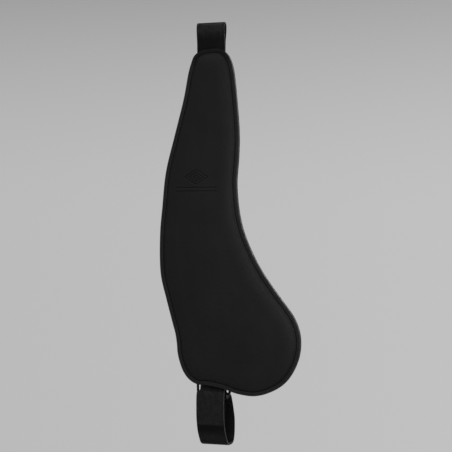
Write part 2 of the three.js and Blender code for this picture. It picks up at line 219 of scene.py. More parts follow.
# ---- materials
class Nodes:
    """A short way to write the node tree of a material or a world."""

    def __init__(self, owner, output="ShaderNodeOutputMaterial",
                 shader="ShaderNodeBsdfPrincipled", place="Object"):
        owner.use_nodes = True
        self.owner, self.tree = owner, owner.node_tree
        self.tree.nodes.clear()
        self.shader = self.add(shader)
        self.output = self.add(output, {0: self.shader.outputs[0]})
        self.place = self.add("ShaderNodeTexCoord").outputs[place]

    def feed(self, node, inputs):
        """Links outputs to a node's inputs, or sets them to numbers, colours or vectors."""
        for key, value in inputs.items():
            socket = node.inputs[key]
            if isinstance(value, bpy.types.NodeSocket):
                self.tree.links.new(value, socket)
            else:
                socket.default_value = (*value, 1) if socket.type == "RGBA" else value

    def add(self, kind, inputs=None, **settings):
        node = self.tree.nodes.new(kind)
        for key, value in settings.items():
            setattr(node, key, value)
        self.feed(node, inputs or {})
        return node

    def noise(self, size, detail=3.0, rough=0.5, place=None):
        """Noise whose features are about size millimetres across."""
        inputs = {"Scale": 1 / (size * MM), "Detail": detail, "Roughness": rough,
                  "Vector": place or self.place}
        return self.add("ShaderNodeTexNoise", inputs).outputs["Fac"]

    def cells(self, size):
        """Distance from the middle of cells about size millimetres across."""
        inputs = {"Vector": self.place, "Scale": 1 / (size * MM)}
        return self.add("ShaderNodeTexVoronoi", inputs, feature="F1").outputs["Distance"]

    def attribute(self, name):
        return self.add("ShaderNodeAttribute", attribute_name=name).outputs["Fac"]

    def math(self, operation, a, b):
        return self.add("ShaderNodeMath", {0: a, 1: b}, operation=operation).outputs[0]

    def span(self, value, low, high, to_low, to_high, **settings):
        """Maps low..high to to_low..to_high, held at both ends."""
        inputs = {"Value": value, "From Min": low, "From Max": high, "To Min": to_low,
                  "To Max": to_high}
        return self.add("ShaderNodeMapRange", inputs, **settings).outputs["Result"]

    def mix(self, factor, a, b):
        """Mixes two colours, by the sockets that the node has for colours."""
        return self.add("ShaderNodeMix", {0: factor, 6: a, 7: b}, data_type="RGBA").outputs[2]

    def bump(self, height, depth, strength=1.0, under=None):
        """Bump from a height of 0 to 1, depth millimetres deep, over another bump."""
        inputs = {"Height": height, "Strength": strength, "Distance": depth * MM}
        if under:
            inputs["Normal"] = under
        return self.add("ShaderNodeBump", inputs).outputs[0]


def leather(name, dark, light, worn_and_highlight, rough, grain, depth, specular, streaks=0.0):
    """Dyed leather, from three colours of dye and the size and depth of its pebbled grain.

    It is paler and smoother where the wear attribute is set, which is wear and, on the strap's
    roll, a painted highlight; it is darker and rougher where the shade attribute is set, which is
    painted shade. Streaks run along the strap.
    """
    m = Nodes(bpy.data.materials.new(name))
    colour = m.mix(m.span(m.noise(60, 5, 0.6), 0.32, 0.68, 0, 1), dark, light)
    colour = m.mix(m.span(m.noise(2.2, 4, 0.6), 0.35, 0.75, 0, 0.35), colour, dark)
    if streaks:
        drawn_out = m.add("ShaderNodeMapping", {"Vector": m.place, "Scale": (1, 1, 1 / 14)})
        lines = m.noise(3.5, 3, 0.6, drawn_out.outputs[0])
        colour = m.mix(m.span(lines, 0.42, 0.66, 0, streaks), colour, worn_and_highlight)
    # The worn colour paints both wear and the painted highlight on the strap's roll.
    rub_and_highlight = m.math("MULTIPLY", m.attribute("wear_and_highlight"), m.span(m.noise(6, 4), 0.35, 0.65, 0.35, 1.1))
    # Painted shade: mixes toward near-black and roughens.
    shade = m.attribute("shade")
    deepest = tuple(c * 0.05 for c in dark)
    pores = m.math("MULTIPLY", m.noise(grain * 0.55, 2, 0.6), 0.6)
    height = m.math("ADD", m.span(m.cells(grain), 0.0, 0.75, 0, 1), pores)
    folds = m.bump(m.noise(9, 3, 0.55), 0.25, 0.5)
    dull = m.span(m.noise(16, 3), 0.3, 0.7, *rough)
    dull = m.math("SUBTRACT", dull, m.math("MULTIPLY", rub_and_highlight, 0.08))
    m.feed(m.shader, {
        "Base Color": m.mix(shade, m.mix(rub_and_highlight, colour, worn_and_highlight), deepest),
        "Roughness": m.math("ADD", dull, m.math("MULTIPLY", shade, 0.45)),
        "Normal": m.bump(height, depth, 1.0, folds), "Specular IOR Level": specular,
    })
    return m.owner


def painted_metal(name, colour, edge, rough):
    """Dark finished metal, scuffed to the bare metal's tone in small patches."""
    m = Nodes(bpy.data.materials.new(name))
    scuff = m.span(m.noise(3.2, 5, 0.65), 0.58, 0.72, 0, 1)
    m.feed(m.shader, {
        "Base Color": m.mix(scuff, colour, edge), "Metallic": 0.75,
        "Roughness": m.span(m.noise(1.4, 3), 0.3, 0.7, rough - 0.06, rough + 0.1),
        "Normal": m.bump(m.noise(0.7, 3), 0.02, 0.6),
    })
    return m.owner


def waxed_thread(name, colour, light):
    """Waxed thread with its twist."""
    m = Nodes(bpy.data.materials.new(name))
    twist = m.span(m.noise(0.5, 2), 0.35, 0.65, 0, 1)
    m.feed(m.shader, {
        "Base Color": m.mix(twist, colour, light), "Roughness": 0.6,
        "Normal": m.bump(m.noise(0.35, 2), 0.08, 0.8), "Specular IOR Level": 0.12,
    })
    return m.owner


def foam(name, dark, light):
    """Closed-cell foam: small pits."""
    m = Nodes(bpy.data.materials.new(name))
    pits = m.cells(0.8)
    m.feed(m.shader, {
        "Base Color": m.mix(m.span(pits, 0.1, 0.6, 0, 1), dark, light), "Roughness": 0.95,
        "Normal": m.bump(pits, 0.3),
    })
    return m.owner


FACE = leather("face_leather", (0.0062, 0.0063, 0.0063), (0.0092, 0.0093, 0.0092),
               (0.032, 0.032, 0.032), rough=(0.54, 0.66), grain=1.0, depth=0.1, specular=0.27)
STRAP = leather("strap_leather", (0.0056, 0.0056, 0.006), (0.0078, 0.0078, 0.0081),
                (0.042, 0.042, 0.044), rough=(0.38, 0.5), grain=0.8, depth=0.05,
                specular=0.17, streaks=0.15)
LINING = leather("lining_leather", (0.010, 0.0095, 0.009), (0.016, 0.015, 0.0145),
                 (0.03, 0.029, 0.028), rough=(0.7, 0.85), grain=0.7, depth=0.16, specular=0.2)
METAL = painted_metal("buckle_metal", (0.02, 0.02, 0.021), (0.09, 0.09, 0.09), 0.4)
RIVET = painted_metal("rivet_metal", (0.14, 0.14, 0.145), (0.4, 0.4, 0.4), 0.32)
THREAD = waxed_thread("thread", (0.003, 0.003, 0.0032), (0.008, 0.008, 0.0085))
FOAM = foam("foam", (0.05, 0.05, 0.055), (0.11, 0.11, 0.12))


# ---- the panel's outline
RIVETS = [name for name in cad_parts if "_rivet_" in name and "burr" not in name]
HUB = np.array([0.0, -388.0]) * MM  # every point of the outline is in sight of this one
OUTLINE_COUNT = 720


def resample(points, count):
    """count equally spaced points on the smooth closed curve through points."""
    fine = []
    for i in range(len(points)):
        p0, p1, p2, p3 = (points[(i + k - 1) % len(points)] for k in range(4))
        for t in np.arange(0, 1, 1 / 16):
            fine.append(0.5 * (2 * p1 + (p2 - p0) * t + (2 * p0 - 5 * p1 + 4 * p2 - p3) * t ** 2
                               + (3 * p1 - p0 - 3 * p2 + p3) * t ** 3))
    fine = np.array(fine + [fine[0]])
    lengths = lengths_along(fine)
    return sample(fine, lengths, np.linspace(0, lengths[-1], count, endpoint=False))


def panel_outline():
    """The lining's outline as [x, z] points, anticlockwise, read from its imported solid."""
    co = coordinates(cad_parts["lining_panel"].data)
    back = co[np.abs(co[:, 1] - co[:, 1].max()) < 1e-5][:, [0, 2]]
    for name in RIVETS:
        back = back[np.linalg.norm(back - box_axis(name)[[0, 2]], axis=1) > 4 * MM]
    back = back[np.argsort(np.arctan2(*(back - HUB).T[::-1]))]
    apart = np.linalg.norm(back - np.roll(back, 1, axis=0), axis=1) > 0.5 * MM
    return resample(back[apart], OUTLINE_COUNT)


OUTLINE = panel_outline()
OUTLINE_S = lengths_along(OUTLINE) / MM
TANGENT = ring_tangents(OUTLINE)
INWARD = np.column_stack([-TANGENT[:, 1], TANGENT[:, 0]])


def round_average(values, reach):
    """A running average round a closed ring, over reach points to each side."""
    window = np.ones(2 * reach + 1) / (2 * reach + 1)
    return np.convolve(np.concatenate([values[-reach:], values, values[:reach]]), window, "valid")


def corner_radius(reach=3, blur=4, hold=8):
    """Radius of the outline's bends that an inset has to fit in, in millimetres.

    The turn over reach points to each side is averaged over blur and kept for hold points.
    """
    step = np.linalg.norm(np.roll(OUTLINE, -1, axis=0) - OUTLINE, axis=1)
    heading = np.unwrap(np.arctan2(TANGENT[:, 1], TANGENT[:, 0]))
    turn = np.roll(heading, -reach) - np.roll(heading, reach)
    turn = (turn + math.pi) % (2 * math.pi) - math.pi
    bend = round_average(turn / (2 * reach * step), blur)
    sharpest = np.max([np.roll(bend, k) for k in range(-hold, hold + 1)], axis=0)
    return 1 / np.maximum(sharpest, 1e-3) / MM


CORNERS = corner_radius()


def inset(distance):
    """The outline moved inward by a distance in millimetres, or by less at a tight bend."""
    room = np.minimum(distance, 0.6 * CORNERS)
    for reach in (24, 12, 6):
        room = np.minimum(room, round_average(room, reach))
    return OUTLINE + INWARD * room[:, None] * MM


def nearest(points, chunk=2000):
    """Distances of [x, z] points from the outline and lengths round it, in millimetres."""
    a, b = OUTLINE, np.roll(OUTLINE, -1, axis=0)
    ab = b - a
    length = (ab ** 2).sum(axis=1)
    distance, around = np.empty(len(points)), np.empty(len(points))
    for i in range(0, len(points), chunk):
        p = points[i:i + chunk, None, :]
        t = np.clip(((p - a) * ab).sum(axis=2) / length, 0, 1)
        gap = np.linalg.norm(p - (a + t[..., None] * ab), axis=2)
        best = gap.argmin(axis=1)
        rows = np.arange(len(best))
        distance[i:i + chunk] = gap[rows, best]
        around[i:i + chunk] = OUTLINE_S[best] + t[rows, best] * np.sqrt(length[best]) / MM
    return distance / MM, around


def inside(points, polygon):
    """Which [x, z] points lie in a polygon."""
    hit = np.zeros(len(points), bool)
    x, z = points[:, 0], points[:, 1]
    for (x0, z0), (x1, z1) in zip(polygon, np.roll(polygon, -1, axis=0)):
        crosses = (z0 > z) != (z1 > z)
        if crosses.any():
            at = (x1 - x0) * (z - z0) / ((z1 - z0) or 1e-12) + x0
            hit ^= crosses & (x < at)
    return hit


# Shares of a grid's spacing: between its rows, inside a finer patch, and inside an edge.
ROW, PATCH_MARGIN, EDGE_MARGIN = 0.87, 0.3, 0.55


def fill_points(polygon, spacing, patch=None):
    """Points in a polygon on a staggered grid, finer in a patch (low, high, spacing)."""
    points = []

    def grid(low, high, spacing):
        for i, z in enumerate(np.arange(low[1], high[1], spacing * ROW * MM)):
            xs = np.arange(low[0] + (i % 2) * spacing * MM / 2, high[0], spacing * MM)
            points.extend(np.column_stack([xs, np.full(len(xs), z)]))

    grid(polygon.min(axis=0), polygon.max(axis=0), spacing)
    if patch:
        coarse = np.array(points)
        away = ((coarse < patch[0]) | (coarse > patch[1])).any(axis=1)
        points = list(coarse[away])
        margin = spacing * PATCH_MARGIN * MM
        grid(patch[0] + margin, patch[1] - margin, patch[2])
    points = np.array(points)
    points = points[inside(points, polygon)]
    edge = np.array([np.linalg.norm(polygon - p, axis=1).min() for p in points])
    return points[edge > spacing * EDGE_MARGIN * MM]


def cap_faces(ring, extra, first_ring, first_extra):
    """Triangles that fill a ring of [x, z] points, using extra points inside it."""
    joined = [Vector(p) for p in np.vstack([ring, extra])]
    result = delaunay_2d_cdt(joined, [], [list(range(len(ring)))], 1, 1e-9)
    triangles, source = result[2:4]
    if not all(source):
        raise ValueError("the ring crosses itself")
    index = [s[0] for s in source]
    place = [first_ring + i if i < len(ring) else first_extra + i - len(ring) for i in index]
    return [[place[i] for i in triangle] for triangle in triangles]


def panel_body(name, steps, spacing, height=None, patch=None):
    """A closed body from [inset, y] steps, its far end filled with points of a spacing.

    Where y is None, and over the far end, the height function gives it.
    """
    rings = []
    for distance, y in steps:
        flat = inset(distance)
        depth = height(flat) if y is None else np.full(len(flat), y * MM)
        rings.append(np.column_stack([flat[:, 0], depth, flat[:, 1]]))
    vertices = np.vstack(rings)
    faces = ring_faces(len(rings), OUTLINE_COUNT)
    for ring, apart, is_far in ((0, BACK_STEP, False), (len(rings) - 1, spacing, True)):
        flat = rings[ring][:, [0, 2]]
        extra = fill_points(flat, apart, patch if is_far else None)
        y = height(extra) if is_far and height else np.full(len(extra), rings[ring][0, 1])
        faces += cap_faces(flat, extra, ring * OUTLINE_COUNT, len(vertices))
        vertices = np.vstack([vertices, np.column_stack([extra[:, 0], y, extra[:, 1]])])
    return mesh_object(name, vertices, faces)


# ---- the padded panel
FACE_OUT, FACE_BACK = (corner[1] for corner in box_mm("face_panel"))
RIM_OUT = FACE_BACK - RIM_T
PAD_BACK = box_mm("padding")[1][1]
LINING_OUT, LINING_BACK = (corner[1] for corner in box_mm("lining_panel"))

# A plain pressed ornament: lozenges inside each other, over two ruled lines. The lozenges'
# sizes are shares of the half width and height. Reach is half the width of a pressed line.
MARK_X, MARK_Z, MARK_HALF_W, MARK_HALF_H = -20.5, -229.5, 20.3, 12.0
LOZENGES, LINES, HALF_LINE = (0.22, 0.58, 0.94), (-246.0, -251.4), 33.0
MARK_DEPTH, MARK_REACH = 0.85, 1.15
# The part of the face with a finer mesh: its low and high corners and its spacing.
PATCH = (np.array([-58.0, -255.0]) * MM, np.array([17.0, -214.0]) * MM, 0.8)
# Between the points that fill the outer face, the lining's back and the other flat faces.
FACE_STEP, LINING_STEP, BACK_STEP = 2.2, 6, 9


def tooling(x, z):
    """Depth of the pressed ornament, in millimetres, at places in millimetres."""
    dx, dz = np.abs(x - MARK_X), z - MARK_Z
    across = np.hypot(1 / MARK_HALF_W, 1 / MARK_HALF_H)
    q = dx / MARK_HALF_W + np.abs(dz) / MARK_HALF_H
    gap = np.min([np.abs(q - size) / across for size in LOZENGES], axis=0)
    for line in LINES:
        beyond = np.maximum(dx - HALF_LINE, 0)
        gap = np.minimum(gap, np.hypot(z - line, beyond))
    return MARK_DEPTH * smoother(1 - gap / MARK_REACH)


def face_height(flat):
    """y of the outer face, in metres, at [x, z] places.

    The pad rises to its crown and waves a little; the seam is a groove with puckers beside it.
    """
    distance, around = nearest(flat)
    x, z = flat.T / MM
    climb = np.clip((distance - CROWN_START) / (CROWN_END - CROWN_START), 0, 1)
    last_rise = 0.5
    rise = (RIM_OUT - FACE_OUT - last_rise) * (1 - (1 - climb) ** 2.2)
    rise += last_rise * smoother((distance - CROWN_END) / 30)
    groove = 0.85 * bump_at(distance, SEAM_IN, 1.15)
    wave = 0.32 * np.sin(z / 47 + x / 61 + 0.6) + 0.22 * np.sin(z / 29 - x / 38 + 2.1)
    wave += 0.12 * np.sin(z / 13 + x / 17) * np.sin(x / 21 - z / 33)
    wave *= 0.55 * smoother((distance - 9) / 22)
    beat = np.sin(around / 1.15 + 0.8 * np.sin(around / 19)) * (0.6 + 0.4 * np.sin(around / 31 + 1))
    pucker = 0.14 * beat * bump_at(distance, 10.2, 3.6)
    return (RIM_OUT - rise + groove + wave + pucker + tooling(x, z)) * MM


def face_wear(distance, front):
    """Wear of the cut edge, the raised rim and the crest inside the seam."""
    edge = np.where(front, 0.7 * smoother(1 - distance / 1.9), 0.8 * smoother(1 - distance / 0.6))
    rim = 0.17 * smoother((SEAM_IN - 0.2 - distance) / 1.2)
    crest = 0.1 * bump_at(distance, 10, 3.5)
    return edge + front * (rim + crest)


def face_shade(distance, x, z):
    """Painted shade in the seam, on the slope inside it and the top rim; the ornament's darker
    lines.
    """
    # Painted shade in the seam groove and on the crown's slope inside it.
    seam = 0.9 * bump_at(distance, SEAM_IN, 1.1) + 0.3 * bump_at(distance, 8.6, 4)
    # Painted shade along the rim at the top of the panel.
    top_rim = 0.65 * smoother((z + 70) / 30) * smoother((6.5 - distance) / 1.5)
    return seam + 0.9 * tooling(x, z) + top_rim


def face_panel():
    """The outer leather: its hollow back, its rounded cut edge and its padded front."""
    steps = [
        (16, FACE_OUT + 4.5), (13.5, FACE_OUT + 5), (12, FACE_BACK - 1), (12, FACE_BACK),
        (5.4, FACE_BACK), (0.9, FACE_BACK), (0.35, FACE_BACK - 0.12), (0.08, FACE_BACK - 0.45),
        (0, FACE_BACK - 1), (0, RIM_OUT + 1.2), (0.12, RIM_OUT + 0.65), (0.45, RIM_OUT + 0.25),
        (0.95, RIM_OUT + 0.05),
    ]
    fine = (1.6, 2.6, 3.8, 4.8, 5.3, 5.7, 6.05, 6.4, 6.75, 7.1, 7.5, 8.1, 8.8, 9.6)
    steps += [(distance, None) for distance in fine]
    piece = panel_body("face_leather", steps, FACE_STEP, face_height, PATCH)
    co = coordinates(piece.data)
    x, y, z = co.T / MM
    distance, _ = nearest(co[:, [0, 2]])
    front = y < RIM_OUT + 1.4
    shade = face_shade(distance, x, z) * front
    set_attribute(piece.data, "wear_and_highlight", np.clip(face_wear(distance, front), 0, 1))
    set_attribute(piece.data, "shade", np.clip(shade, 0, 1))
    finish_piece(piece, FACE, "fender", "face_panel")


def foam_pad():
    """The foam between the leathers, hollowed over the rivets' burrs."""
    steps = [(15, PAD_BACK), (12.6, PAD_BACK), (12.3, PAD_BACK - 0.4), (12.3, PAD_BACK - 1),
             (13.8, FACE_OUT + 5.3), (16.3, FACE_OUT + 4.8)]
    piece = panel_body("foam_pad", steps, BACK_STEP)
    burrs = [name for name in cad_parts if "_burr_" in name]
    combine(piece, [rod(name, 5.2, PAD_BACK - 2, PAD_BACK + 1) for name in burrs])
    finish_piece(piece, FOAM, "fender", "padding")


def lining():
    """The inner leather, with rounded edges and the hollow of the seam in its back."""
    front, back = LINING_OUT, LINING_BACK
    steps = [
        (11, front), (0.8, front), (0.3, front + 0.12), (0.06, front + 0.45), (0, front + 0.9),
        (0, back - 0.8), (0.1, back - 0.4), (0.4, back - 0.12), (0.9, back), (2, back),
        (5.0, back), (5.7, back - 0.2), (SEAM_IN, back - 0.5), (7.1, back - 0.2), (7.8, back),
        (9, back), (11, back),
    ]
    piece = panel_body("lining_leather", steps, LINING_STEP)
    combine(piece, [rod(name, SHANK_HOLE, front - 1, back + 1) for name in RIVETS])
    distance, _ = nearest(coordinates(piece.data)[:, [0, 2]])
    set_attribute(piece.data, "wear_and_highlight", 0.8 * smoother(1 - distance / 1.6))
    # Painted shade in the hollow of the seam.
    set_attribute(piece.data, "shade", 0.7 * bump_at(distance, SEAM_IN, 1.2))
    finish_piece(piece, LINING, "fender", "lining_panel")


# ---- round pieces
def lathe(name, profile, centre, axis="Y", sides=32, closed=False):
    """A body turned about a line along Y or X, from [radius, along] points in millimetres."""
    angle = np.arange(sides) * 2 * math.pi / sides
    rings = []
    for radius, along in profile:
        a, b, level = radius * np.cos(angle), radius * np.sin(angle), np.full(sides, along)
        rings.append(np.column_stack([a, level, b] if axis == "Y" else [level, a, b]))
    faces = ring_faces(len(rings), sides, True) if closed else tube_faces(len(rings), sides)
    return mesh_object(name, np.vstack(rings) * MM + centre, faces, 40)


def rod(node, radius, y0, y1):
    """A cutter along Y through a node's centre, between two depths in millimetres."""
    return lathe(f"cutter_{node}", [(radius, y0), (radius, y1)], box_axis(node))


def rivets():
    """Domed rivets with hammered ends, and their washers."""
    shank, hammered, dome, burr_r = 1.6, 1.65, 1.2, 4.2
    for name in RIVETS:
        low, high = box_mm(name)
        centre = box_axis(name)
        head = high[1] - 1.5
        radius = (high[0] - low[0]) / 2
        profile = [
            (0.3, low[1]), (1.2, low[1] + 0.05), (hammered, low[1] + 0.25),
            (hammered, low[1] + 0.6), (shank, low[1] + 0.8), (shank, head),
            (radius - 0.25, head), (radius, head + 0.25),
        ]
        for degrees in range(15, 90, 15):
            angle = math.radians(degrees)
            profile.append((radius * math.cos(angle), head + 0.25 + dome * math.sin(angle)))
        profile.append((0.2, high[1]))
        domed = lathe(f"{name}_domed", profile, centre)
        finish_piece(domed, RIVET, "fender", name)
        burr = name.replace("_rivet_", "_rivet_burr_")
        front, back = (corner[1] for corner in box_mm(burr))
        ring = [
            (SHANK_HOLE, front + 0.15), (2.1, front), (4.0, front), (burr_r, front + 0.2),
            (burr_r, back - 0.15), (4.05, back), (2.0, back), (SHANK_HOLE, back - 0.1),
        ]
        washer = lathe(f"{burr}_washer", ring, centre, closed=True)
        finish_piece(washer, RIVET, "fender", burr)


# ---- straps
def spline(points, step=0.5):
    """Close points on the smooth curve through [y, z] points (centripetal Catmull-Rom)."""
    points = np.asarray(points, float)
    ends = [2 * points[0] - points[1], *points, 2 * points[-1] - points[-2]]
    out = []
    for four in zip(ends, ends[1:], ends[2:], ends[3:]):
        gaps = [np.linalg.norm(b - a) for a, b in zip(four, four[1:])]
        knots = np.concatenate([[0], np.cumsum(np.sqrt(gaps))])
        count = max(2, int(gaps[1] / step))
        for t in np.linspace(knots[1], knots[2], count, endpoint=False):
            level = four
            for spans in (((0, 1), (1, 2), (2, 3)), ((0, 2), (1, 3)), ((1, 2),)):
                level = [(knots[j] - t) / (knots[j] - knots[i]) * a
                         + (t - knots[i]) / (knots[j] - knots[i]) * b
                         for (i, j), a, b in zip(spans, level, level[1:])]
            out.append(level[0])
    return np.array(out + [points[-1]])


def thin_out(path, longest, turn):
    """Keeps a point at least every longest millimetres and every turn degrees."""
    keep, length, angle = [0], 0.0, 0.0
    for i in range(1, len(path) - 1):
        before, after = path[i] - path[i - 1], path[i + 1] - path[i]
        length += np.linalg.norm(before)
        cross = before[0] * after[1] - before[1] * after[0]
        angle += abs(math.degrees(math.atan2(cross, before @ after)))
        if length >= longest or angle >= turn:
            keep.append(i)
            length = angle = 0.0
    return path[keep + [len(path) - 1]]


def section(w, thickness, crease):
    """A strap's section as [x, out] points: rounded edges, and a creased line by each."""
    h, r, q = thickness / 2, 0.34 * thickness, 0.2 * thickness
    top = [
        (-w, 0), (-w, h - r), (-w + 0.3 * r, h - 0.3 * r), (-w + r, h), (-w + 2.5, h),
        (-w + 3.2, h - crease), (-w + 3.9, h), (-w * 0.45, h),
    ]
    under = [(w, -h + q), (w - 0.3 * q, -h + 0.3 * q), (w - q, -h), (w * 0.4, -h)]
    top_right, under_left = ([(-x, out) for x, out in half[::-1]] for half in (top, under))
    return np.array(top + [(0, h)] + top_right + under + under_left)


def outward_side(path):
    """The side of a path that a strap's grain side is on, at each of its points."""
    steps = np.gradient(path, axis=0)
    steps /= np.linalg.norm(steps, axis=1)[:, None]
    return np.column_stack([steps[:, 1], -steps[:, 0]])


def sweep(name, path, half_widths, thicknesses, crease, cut_back=0, press=0, wear_and_highlight=0, shade=0,
          bare_and_edge_shade=0.1):
    """A strap swept along [y, z] points in millimetres, with its width along X.

    Each setting is one number or one a point: how far the left edge is cut back and the grain
    side pressed in, the grain side's wear and painted highlight and its painted shade, and how
    bare of dye the edges are; edges that are not bare get painted shade.
    """
    settings = [np.broadcast_to(v, len(path))
                for v in (half_widths, thicknesses, cut_back, press, wear_and_highlight, shade, bare_and_edge_shade)]
    rings, worn_and_highlight, dark = [], [], []
    for point, out, half, thick, cut, dent, rub_and_highlight, dim, raw_and_edge_shade in zip(
            path, outward_side(path), *settings):
        shape = section(half, thick, crease)
        grain = shape[:, 1] > 0.1 * thick
        edge = smoother((np.abs(shape[:, 0]) - half + 0.9) / 0.7)
        # Bare edges are paler from wear; the grain side is paler where worn and where a highlight
        # is painted.
        worn_and_highlight.append(np.maximum(edge * raw_and_edge_shade, rub_and_highlight * grain))
        # Painted shade on the grain side where shade is set, and on edges that are not bare.
        dark.append(np.where(grain, dim, 0) * (1 - edge) + edge * 0.7 * (1 - raw_and_edge_shade))
        shape[:, 1] -= dent * grain
        shape[:, 0] = np.where(shape[:, 0] < 0, shape[:, 0] * (1 - cut / half), shape[:, 0])
        rings.append(np.column_stack([shape[:, 0], point - TUNNEL + shape[:, 1:] * out]))
    return mesh_object(name, np.vstack(rings) * MM, tube_faces(len(rings), len(rings[0])), 55,
                       {"wear_and_highlight": np.concatenate(worn_and_highlight), "shade": np.concatenate(dark)})


def length_at(path, place):
    """How far along a path its point nearest to a place is."""
    return lengths_along(path)[np.argmin(np.hypot(*(path - place).T))]


def refine(path, at, reach, step):
    """Adds points to a path round a length along it."""
    lengths = lengths_along(path)
    kept = lengths[np.abs(lengths - at) > reach]
    added = np.arange(at - reach, at + reach + 0.01, step)
    return sample(path, lengths, np.sort(np.concatenate([kept, added])))


def slot_cutter(path, at, length, width, sides=24):
    """An oblong cutter square through a strap, at a length along its path."""
    lengths = lengths_along(path)
    point = sample(path, lengths, at)[0] - TUNNEL
    out = sample(outward_side(path), lengths, at)[0]
    out /= np.linalg.norm(out)
    ahead = np.array([-out[1], out[0]])
    vertices = []
    for depth in (-4, 4):
        for c, s in circle(sides, 0.5):
            along = (length - width) / 2 * (1 if s > 0 else -1) + width / 2 * s
            vertices.append((width / 2 * c, *(point + ahead * along + out * depth)))
    return mesh_object("cutter", np.array(vertices) * MM, tube_faces(2, sides))


def box_cutter(name, low, high):
    """A cutter: a box between two corners in the strap's layout, in millimetres."""
    offset = np.array([0, *TUNNEL])
    xs, ys, zs = zip((low - offset) * MM, (high - offset) * MM)
    vertices = [(x, y, z) for x in xs for y in ys for z in zs]
    faces = [(0, 1, 3, 2), (4, 6, 7, 5), (0, 4, 5, 1), (2, 3, 7, 6), (0, 2, 6, 4), (1, 5, 7, 3)]
    return mesh_object(name, vertices, faces)


LOOP_UP_PATH = spline(LOOP_UP)
STRAP_LOW, STRAP_HIGH = box_mm("main_strap")
HALF_W = (STRAP_HIGH[0] - STRAP_LOW[0]) / 2
# How far the strap's left edge is cut back by the buckle, and where, on the way down and up.
NECK_CUT, NECK_TOP, NECK_BOTTOM = 4.8, -512.0, -556.0
NECK_UP_CUT, NECK_UP_TOP, NECK_UP_BACK = 3.0, -540.0, 20.0
SHOULDER = 4.0  # length of the slope at each end of such a cut
TIP, TIP_HALF_W, TIP_T = 16.0, 6.0, 2.0  # the tail's rounded and thinned tip
SKIVE, SKIVE_T = 14.0, 1.3  # the thinned folded-over end
FOLD_END_Z = -110  # where that end lies
CREASES = ((-3.7, -603.5, 0.35), (-1.9, -609.5, 0.14), (1.0, -617.6, 0.1))  # y, z and depth
SEAT_TOP = -540  # the loop below this is worn by the stirrup, and below its first crease it has painted shade
HOLE, HOLE_PITCH, TONGUE_SLOT = 4.4, 25, 14
HEEL, ROLLER = np.array([8.0, -528.0]), np.array([11.0, -559.0])  # the buckle's bars
WIRE_R, ROLLER_R, CORNER_R, FRAME_HALF = 2.0, 3.5, 4.0, 26.0
TONGUE_R, TONGUE_L = 1.6, 31.0


def tongue_aim():
    """The way the tongue points, so that it rests on the roller."""
    y, z = ROLLER - HEEL
    lean = math.atan2(y, -z) + math.asin((ROLLER_R + GAP + TONGUE_R) / math.hypot(y, z))
    return np.array([math.sin(lean), -math.cos(lean)])


def tongue_crossing():
    """How far along the upward part of the loop the tongue passes through it."""
    aim, off = tongue_aim(), LOOP_UP_PATH - HEEL
    reach = off @ aim
    miss = np.linalg.norm(off - reach[:, None] * aim, axis=1)
    miss[(reach < 5) | (reach > TONGUE_L - 8)] = np.inf
    return lengths_along(LOOP_UP_PATH)[np.argmin(miss)]


def stirrup_path():
    """The strap's middle line, from folded-over end to tip, and where its creases are."""
    roll = spline([[STRAP_Y, -34], [STRAP_Y, -30], *ROLL, [OVER_Y, -30], [OVER_Y, -34]])[::-1]
    front = spline([[STRAP_Y, -40], [STRAP_Y, -60], [STRAP_Y, -430], [STRAP_Y, -436], *LOOP_DOWN])
    fold_end = [[OVER_Y, FOLD_END_Z + rise] for rise in (0, 0.6, 1.4, 2.4, 4, 7, 11, 16)]
    path = np.vstack([
        fold_end, thin_out(spline([[OVER_Y, -90], [OVER_Y, -40]]), 3, 9)[:-1],
        thin_out(roll, 0.8, 5), thin_out(front, 2.6, 4), thin_out(LOOP_UP_PATH, 2.4, 4),
    ])
    creases = [length_at(path, crease[:2]) for crease in CREASES]
    for at in creases:
        path = refine(path, at, 3, 0.75)
    path = refine(path, length_at(path, (-3, NECK_BOTTOM + 2)), 5, 0.8)
    lengths = lengths_along(path)
    back = TIP * (1 - np.sin(np.linspace(0.05, 1, 10) * math.pi / 2))
    fine_tip = np.column_stack([np.full(10, TAIL_Y), LOOP_UP[-1][1] - back])
    return np.vstack([path[lengths[-1] - lengths > TIP + 0.5], fine_tip]), creases


def strap_outline(path, down):
    """Half widths, cuts into the left edge and thicknesses at a path's points."""
    lengths, (y, z) = lengths_along(path), path.T
    to_tip = lengths[-1] - lengths
    tip = TIP_HALF_W + (HALF_W - TIP_HALF_W) * np.sqrt(np.clip(1 - (1 - to_tip / TIP) ** 2, 0, 1))
    corner = HALF_W - 3 + np.sqrt(np.clip(9 - (3 - lengths) ** 2, 0, 9))
    half = np.where(to_tip < TIP, tip, np.where(lengths < 3, corner, HALF_W))
    neck = NECK_CUT * smoother(np.minimum(NECK_TOP - z, z - NECK_BOTTOM) / SHOULDER)
    neck_up = NECK_UP_CUT * smoother(np.minimum(NECK_UP_TOP - z, NECK_UP_BACK - y) / SHOULDER)
    thick = np.minimum(SKIVE_T + (STRAP_T - SKIVE_T) * smoother(lengths / SKIVE),
                       TIP_T + (STRAP_T - TIP_T) * smoother(to_tip / 8))
    return half, np.where(down, neck, neck_up), thick


